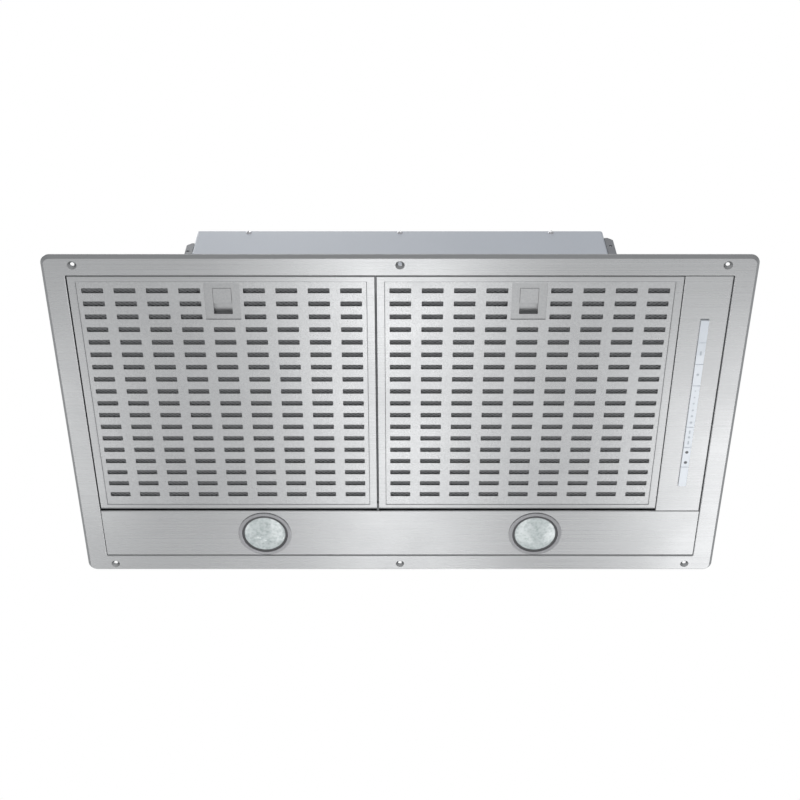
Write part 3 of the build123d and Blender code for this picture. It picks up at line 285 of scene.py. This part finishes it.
SLOT_MATERIALS = {
    "brushed_steel": brushed("brushed_steel", STEEL, 0.27),
    "filter_steel": brushed("filter_frame_steel", STEEL, 0.27),
    "trim_steel": metal("trim_steel", (0.32, 0.32, 0.33), 0.18, 900.0, 0.6e-5),
    "screw_steel": metal("screw_steel", (0.47, 0.47, 0.485), 0.22, 1200.0, 1.0e-5),
    "galvanised_sheet": zinc("galvanised_sheet", (0.42, 0.435, 0.45), 0.54),
    "painted_box": painted("painted_box", (0.295, 0.315, 0.35), 0.42),
    "dark_steel": painted("dark_steel", (0.10, 0.105, 0.115), 0.35),
    # The filter mesh gets a dark colour: painted shade for the mesh seen behind the grille slots.
    "mesh_aluminium": metal("mesh_aluminium", (0.20, 0.204, 0.208), 0.45, 900.0),
    "cast_aluminium": metal("cast_aluminium", (0.37, 0.37, 0.378), 0.5, 380.0, 1.2e-4),
    "bronze": metal("bronze", (0.55, 0.40, 0.24), 0.4, 1500.0),
    "reflector": metal("reflector", (0.86, 0.87, 0.88), 0.12, 300.0, 3.0e-4, 0.03),
    "lens_glass": pebble_glass("lens_glass"),
    "strip_gloss": gloss("strip_gloss", (0.68, 0.72, 0.77)),
    "grey_plastic": plastic("grey_plastic", (0.31, 0.317, 0.325), 0.45),
    "black_plastic": plastic("black_plastic", (0.035, 0.036, 0.04), 0.42),
    "black_rubber": plastic("black_rubber", (0.03, 0.03, 0.03), 0.7, 700.0, 5.0e-5),
    "foam": foam("foam", (0.10, 0.10, 0.105)),
    "circuit_board": painted("circuit_board", (0.03, 0.17, 0.07), 0.3, 200.0, 2.0e-5, 0.5),
}
GRILLE_STEEL = grained("grille_steel", shade(STEEL, 1.02), 0.28, 1.5e-5)
# A darker, rougher copy of the grained steel for the latch pocket and its slider: painted shade for the
# recess.
SHADED_LATCH_STEEL = grained("latch_steel_painted_shade", shade(STEEL, 0.86), 0.34, 1.5e-5)
SEAL_GREY = plastic("seal_grey", (0.075, 0.075, 0.079), 0.6, 700.0, 5.0e-5)
# Dark zinc on the divider bar: painted shade for the gap between the two filters.
SHADED_DIVIDER_ZINC = zinc("divider_painted_shade", (0.18, 0.183, 0.187), 0.5)
# The pad under the expanded sheet, darker still: painted shade inside the filter.
SHADED_MESH_CORE = metal("mesh_core_painted_shade", (0.18, 0.183, 0.187), 0.5, 700.0, 1.0e-4)
PALE_INK = plastic("pale_ink", (0.46, 0.50, 0.54), 0.5, 1200.0, 1.0e-5)
DARK_INK = plastic("dark_ink", (0.14, 0.147, 0.155), 0.5, 1200.0, 1.0e-5)

# Dressing of the CAD nodes ------------------------------------------------------------------


def dress(node, material):
    mesh = frame["nodes"][node].data
    mesh.materials.clear()
    mesh.materials.append(material)


def dress_nodes():
    for part in frame["record"]["subparts"]:
        dress(part["node"], SLOT_MATERIALS[part["material_slot"]])
    for side in ("left", "right"):
        dress(f"filter_{side}_grille", GRILLE_STEEL)
        dress(f"filter_{side}_latch_pocket", SHADED_LATCH_STEEL)
        dress(f"latch_{side}_slider", SHADED_LATCH_STEEL)
    dress("divider_bar", SHADED_DIVIDER_ZINC)
    dress("lamp_seals", SEAL_GREY)


dress_nodes()

# Pieces ---------------------------------------------------------------------------------------

EXPANDED_PITCH = (3.2 * MM, 2.0 * MM)
EXPANDED_STRAND = 0.6 * MM
EXPANDED_TILT = 0.2 * MM
EXPANDED_T = 0.3 * MM
EXPANDED_RISE = 0.75 * MM
PAD_MARGIN = 1.5 * MM
PAD_RISE = 2.0 * MM
PAD_HEADROOM = 0.6 * MM
PAD_CELL = 3 * MM
PAD_WAVE = 0.35 * MM
BAY_MARGIN = 4 * MM
PEG_CORNER = 20 * MM

LENS_DOME = 2.0 * MM
LENS_RINGS = 44
LENS_SPOKES = 132
PEBBLE_PITCH = 4.6 * MM
PEBBLE_DEPTH = 0.09 * MM
PEBBLE_REACH = 0.58
ROW_RISE = 0.866

MARK_PROUD = 0.03 * MM
MARK_SUNK = 0.15 * MM


def add_piece(name, vertices, faces, body, slot, material, smooth=False):
    """Makes one piece from vertices and faces in metres and lets it ride on a body."""
    mesh = bpy.data.meshes.new(name)
    mesh.from_pydata(vertices, [], faces)
    mesh.materials.append(material)
    mesh.polygons.foreach_set("use_smooth", [smooth] * len(mesh.polygons))
    mesh.update()
    piece = bpy.data.objects.new(name, mesh)
    bpy.context.scene.collection.objects.link(piece)
    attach(piece, body)
    return piece


def thicken(piece, depth):
    """Gives an open sheet a real thickness."""
    mesh = piece.data
    shell = bmesh.new()
    shell.from_mesh(mesh)
    bmesh.ops.solidify(shell, geom=shell.faces[:], thickness=depth)
    bmesh.ops.recalc_face_normals(shell, faces=shell.faces[:])
    shell.to_mesh(mesh)
    shell.free()
    mesh.update()


def expanded_metal(low, high, z, skip):
    """Vertices and faces of a slit and stretched sheet. Each hole is a diamond with tilted sides."""
    px, py = EXPANDED_PITCH
    a, b = px - EXPANDED_STRAND, py - EXPANDED_STRAND * py / px * 1.3
    up, down = z + EXPANDED_TILT, z - EXPANDED_TILT
    columns = int((high[0] - low[0]) / px) - 1
    rows = int((high[1] - low[1]) / py) - 1
    vertices, faces, holes = [], [], {}
    for j in range(1, rows + 1):
        for i in range(1 + j % 2, columns + 1, 2):
            x, y = low[0] + px * (i + 0.5), low[1] + py * (j + 0.5)
            if skip(x, y):
                continue
            first = len(vertices)
            vertices += [(x + a, y, z), (x, y + b, up), (x - a, y, z), (x, y - b, down)]
            holes[i, j] = first
    east, north, west, south = range(4)
    for (i, j), hole in holes.items():
        up_east, up_west = holes.get((i + 1, j + 1)), holes.get((i - 1, j + 1))
        down_east, far_east = holes.get((i + 1, j - 1)), holes.get((i + 2, j))
        if up_east is not None:
            faces.append((hole + east, up_east + south, up_east + west, hole + north))
        if up_west is not None:
            faces.append((hole + north, up_west + east, up_west + south, hole + west))
        if None not in (up_east, down_east, far_east):
            faces.append((hole + east, down_east + north, far_east + west, up_east + south))
    return vertices, faces


def crumpled_slab(low, high, z, skip):
    """Closed vertices and faces of a dense pad whose two skins rise and fall a little."""
    cell = PAD_CELL
    columns = int((high[0] - low[0]) / cell)
    rows = int((high[1] - low[1]) / cell)
    kept = {
        (i, j)
        for j in range(rows)
        for i in range(columns)
        if not skip(low[0] + (i + 0.5) * cell, low[1] + (j + 0.5) * cell)
    }
    vertices, faces, index = [], [], {}

    def point(i, j, side):
        key = (i, j, side)
        if key not in index:
            wave = math.sin(2.4 * i + 1.1 * j) * math.cos(1.7 * j - 0.6 * i)
            index[key] = len(vertices)
            vertices.append((low[0] + i * cell, low[1] + j * cell, z[side] + wave * PAD_WAVE))
        return index[key]

    for i, j in sorted(kept):
        square = ((i, j), (i + 1, j), (i + 1, j + 1), (i, j + 1))
        faces.append(tuple(point(*corner, 1) for corner in square))
        faces.append(tuple(point(*corner, 0) for corner in reversed(square)))
        for step, beside in enumerate(((i, j - 1), (i + 1, j), (i, j + 1), (i - 1, j))):
            if beside not in kept:
                a, b = square[step], square[(step + 1) % 4]
                faces.append((point(*a, 0), point(*b, 0), point(*b, 1), point(*a, 1)))
    return vertices, faces


def add_mesh_pack(side):
    """The filter's aluminium: a fine expanded sheet under a dense pad, both dark with painted shade."""
    body, node = f"filter_{side}", f"filter_{side}_mesh"
    low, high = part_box(node)
    bay_low, bay_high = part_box(f"filter_{side}_latch_pocket")
    pegs_low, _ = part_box(f"filter_{side}_hinge_pegs")

    def skip(x, y):
        across = bay_low.x - BAY_MARGIN < x < bay_high.x + BAY_MARGIN
        in_bay = across and y < bay_high.y + BAY_MARGIN
        near_side = min(x - low.x, high.x - x) < PEG_CORNER
        return in_bay or (near_side and y > pegs_low.y - BAY_MARGIN)

    material = SLOT_MATERIALS["mesh_aluminium"]
    sheet = expanded_metal(low, high, low.z + EXPANDED_RISE, skip)
    pack = add_piece(f"filter_{side}_expanded_mesh", *sheet, body, "mesh_aluminium", material)
    thicken(pack, EXPANDED_T)
    edge = Vector((PAD_MARGIN, PAD_MARGIN, 0))
    pad = crumpled_slab(low + edge, high - edge, (low.z + PAD_RISE, high.z - PAD_HEADROOM), skip)
    add_piece(f"filter_{side}_core", *pad, body, "mesh_aluminium", SHADED_MESH_CORE)
    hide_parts(node)


def pebble(x, y):
    """How far the pebbles stand out at a point of the lens, from 0 to 1."""
    rise = PEBBLE_PITCH * ROW_RISE
    row = round(y / rise)
    shift = 0.5 * PEBBLE_PITCH * (row % 2)
    cell = round((x - shift) / PEBBLE_PITCH)
    gap = math.hypot(x - cell * PEBBLE_PITCH - shift, y - row * rise) / (PEBBLE_REACH * PEBBLE_PITCH)
    return max(0.0, 1 - gap * gap)


def add_lens(side):
    """A lamp's domed glass with rows of small pebbles on its underside."""
    node = f"lamp_{side}_lens"
    low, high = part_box(node)
    centre = (low + high) / 2
    radius = (high.x - low.x) / 2
    rings, spokes = LENS_RINGS, LENS_SPOKES

    def under(x, y):
        reach = math.hypot(x, y) / radius
        stand = PEBBLE_DEPTH * pebble(x, y) * min(1.0, (1 - reach) * 12)
        return low.z + LENS_DOME * reach**2 - stand + PEBBLE_DEPTH

    vertices = [(centre.x, centre.y, under(0, 0)), (centre.x, centre.y, high.z)]
    faces = []
    for ring in range(1, rings + 1):
        for spoke in range(spokes):
            angle = 2 * math.pi * spoke / spokes
            reach = radius * ring / rings
            x, y = reach * math.cos(angle), reach * math.sin(angle)
            vertices.append((centre.x + x, centre.y + y, under(x, y)))
    for spoke in range(spokes):
        angle = 2 * math.pi * spoke / spokes
        x, y = radius * math.cos(angle), radius * math.sin(angle)
        vertices.append((centre.x + x, centre.y + y, high.z))
    first = 2
    for spoke in range(spokes):
        after = (spoke + 1) % spokes
        faces.append((0, first + after, first + spoke))
        for ring in range(rings - 1):
            near, far = first + ring * spokes, first + (ring + 1) * spokes
            faces.append((near + spoke, near + after, far + after, far + spoke))
        rim, top = first + (rings - 1) * spokes, first + rings * spokes
        faces.append((rim + spoke, rim + after, top + after, top + spoke))
        faces.append((top + spoke, top + after, 1))
    glass = SLOT_MATERIALS["lens_glass"]
    lens = add_piece(f"lamp_{side}_glass", vertices, faces, "housing", "lens_glass", glass, smooth=True)
    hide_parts(node)


def rounded_bar(x, y, half_x, half_y, z, steps=10):
    """Vertices and faces of a small flat bar with fully round ends, lying along its longer side."""
    radius = min(half_x, half_y)
    outline = []
    for step in range(4 * steps):
        angle = 2 * math.pi * (step + 0.5) / (4 * steps)
        dx, dy = math.cos(angle), math.sin(angle)
        shift_x = math.copysign(half_x - radius, dx)
        shift_y = math.copysign(half_y - radius, dy)
        outline.append((x + shift_x + radius * dx, y + shift_y + radius * dy))
    count = len(outline)
    vertices = [(*point, z[0]) for point in outline] + [(*point, z[1]) for point in outline]
    faces = [tuple(reversed(range(count))), tuple(range(count, 2 * count))]
    for step in range(count):
        after = (step + 1) % count
        faces.append((step, after, count + after, count + step))
    return vertices, faces


def add_marks():
    """Small printed dots and dashes on the strip, which stand for no words."""
    for name, node, body, marks in STRIP_MARKS:
        low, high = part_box(node)
        middle = (low.x + high.x) / 2
        z = (low.z - MARK_PROUD, low.z + MARK_SUNK)
        vertices, faces = [], []
        for y, half_x, half_y in marks:
            bar = rounded_bar(middle, y * MM, half_x * MM, half_y * MM, z)
            faces += [tuple(len(vertices) + corner for corner in face) for face in bar[1]]
            vertices += bar[0]
        ink = DARK_INK if name.startswith("dark") else PALE_INK
        add_piece(f"strip_{name}_marks", vertices, faces, body, "strip_gloss", ink)


# Name, node under the marks, body, then each mark's Y and half sizes in millimetres.
STRIP_MARKS = (
    ("power", "power_key", "power_key", ((-112.0, 1.1, 3.2),)),
    ("light", "light_key", "light_key", ((-80.0, 1.8, 1.8),)),
    ("level", "display_window", "housing", (
        (-55.0, 1.0, 1.0), (-45.0, 1.15, 1.15), (-35.5, 1.3, 1.3),
        (-25.0, 1.45, 1.45), (-15.7, 1.6, 1.6), (-5.7, 1.7, 1.7),
    )),
    ("fan", "fan_key", "fan_key", ((9.8, 0.9, 2.8), (18.0, 1.6, 1.6), (26.7, 0.9, 2.8))),
    ("dark_timer", "timer_key", "timer_key", ((42.4, 2.2, 2.2), (59.1, 2.2, 2.2))),
)

for side in ("left", "right"):
    add_mesh_pack(side)
    add_lens(side)
add_marks()

# Studio ---------------------------------------------------------------------------------------

FLOOR_Z = -2.4
FLOOR_SIZE = 200.0
UNDER_Z = FLOOR_Z + 0.1
ROOM_SEEN = 1.0
ROOM_REFLECTED = 0.68

# Lights close over the floor that face straight up and show as soft bands in the steel:
# name, place in X and Y, size, watts.
UNDER_LIGHTS = (
    ("under_centre", (-0.03, 1.58), (0.40, 1.95), 5.4),
    ("under_near", (-0.03, 1.05), (0.38, 0.7), 1.75),
    ("under_left", (-1.25, 1.75), (0.5, 1.0), 2.9),
    ("under_right", (1.35, 2.05), (1.0, 1.5), 11.5),
)

# Lights round the object: name, place, aim, size, watts.
ROOM_LIGHTS = (
    ("front", (0.3, -2.6, 1.6), (0.0, 0.0, 0.1), (2.4, 1.6), 48.0),
    ("above", (-0.6, 0.3, 2.6), (0.0, 0.0, 0.2), (3.0, 2.4), 61.0),
    ("back", (0.8, 2.4, 3.0), (0.0, 0.1, 0.15), (1.8, 1.2), 61.0),
)

# Small lights that make the bright spots in the two lenses.
GLINT_X = (-0.60, 0.28)
GLINT_Y = 2.46
GLINT_SIZE = (0.075, 0.075)
GLINT_POWER = 0.5
LAMP_ROW_Y = 0.2

CAMERA_PLACE = (0.0, -1.0293, -1.5024)
CAMERA_TILT = math.radians(146.55)
CAMERA_LENS = 62.13


def add_floor():
    material = painted("floor_paint", (0.75, 0.75, 0.75), 0.6, 30.0, 1.0e-4)
    bpy.ops.mesh.primitive_plane_add(size=FLOOR_SIZE, location=(0.0, 0.0, FLOOR_Z))
    floor = bpy.context.object
    floor.name = "studio_floor"
    floor.data.materials.append(material)


def add_world():
    """An even white room, dimmer in reflections than it looks behind the object."""
    world = bpy.data.worlds.new("studio")
    world.use_nodes = True
    tree = world.node_tree
    tree.nodes.clear()
    output = tree.nodes.new("ShaderNodeOutputWorld")
    mix = tree.nodes.new("ShaderNodeMixShader")
    path = tree.nodes.new("ShaderNodeLightPath")
    room = tree.nodes.new("ShaderNodeBackground")
    seen = tree.nodes.new("ShaderNodeBackground")
    room.inputs["Color"].default_value = (0.97, 0.985, 1.0, 1.0)
    room.inputs["Strength"].default_value = ROOM_REFLECTED
    seen.inputs["Color"].default_value = (1.0, 1.0, 1.0, 1.0)
    seen.inputs["Strength"].default_value = ROOM_SEEN
    tree.links.new(path.outputs["Is Camera Ray"], mix.inputs[0])
    tree.links.new(room.outputs[0], mix.inputs[1])
    tree.links.new(seen.outputs[0], mix.inputs[2])
    tree.links.new(mix.outputs[0], output.inputs[0])
    bpy.context.scene.world = world


def add_light(name, place, aim, size, power):
    """A soft rectangular light that the camera doesn't see."""
    data = bpy.data.lights.new(name, "AREA")
    data.shape = "RECTANGLE"
    data.size, data.size_y = size
    data.energy = power
    light = bpy.data.objects.new(name, data)
    light.location = place
    light.rotation_mode = "QUATERNION"
    light.rotation_quaternion = (Vector(aim) - Vector(place)).to_track_quat("-Z", "Y")
    light.visible_camera = False
    bpy.context.scene.collection.objects.link(light)


def add_lights():
    for name, (x, y), size, power in UNDER_LIGHTS:
        add_light(name, (x, y, UNDER_Z), (x, y, 0.0), size, power)
    for name, place, aim, size, power in ROOM_LIGHTS:
        add_light(name, place, aim, size, power)
    for x in GLINT_X:
        add_light("glint", (x, GLINT_Y, UNDER_Z), (x, LAMP_ROW_Y, 0.0), GLINT_SIZE, GLINT_POWER)


def add_camera():
    data = bpy.data.cameras.new("camera")
    data.sensor_width = 36.0
    data.lens = CAMERA_LENS
    camera = bpy.data.objects.new("camera", data)
    camera.location = CAMERA_PLACE
    camera.rotation_euler = (CAMERA_TILT, 0.0, 0.0)
    bpy.context.scene.collection.objects.link(camera)
    bpy.context.scene.camera = camera


add_floor()
add_world()
add_lights()
add_camera()
bpy.context.scene.view_settings.view_transform = "Standard"
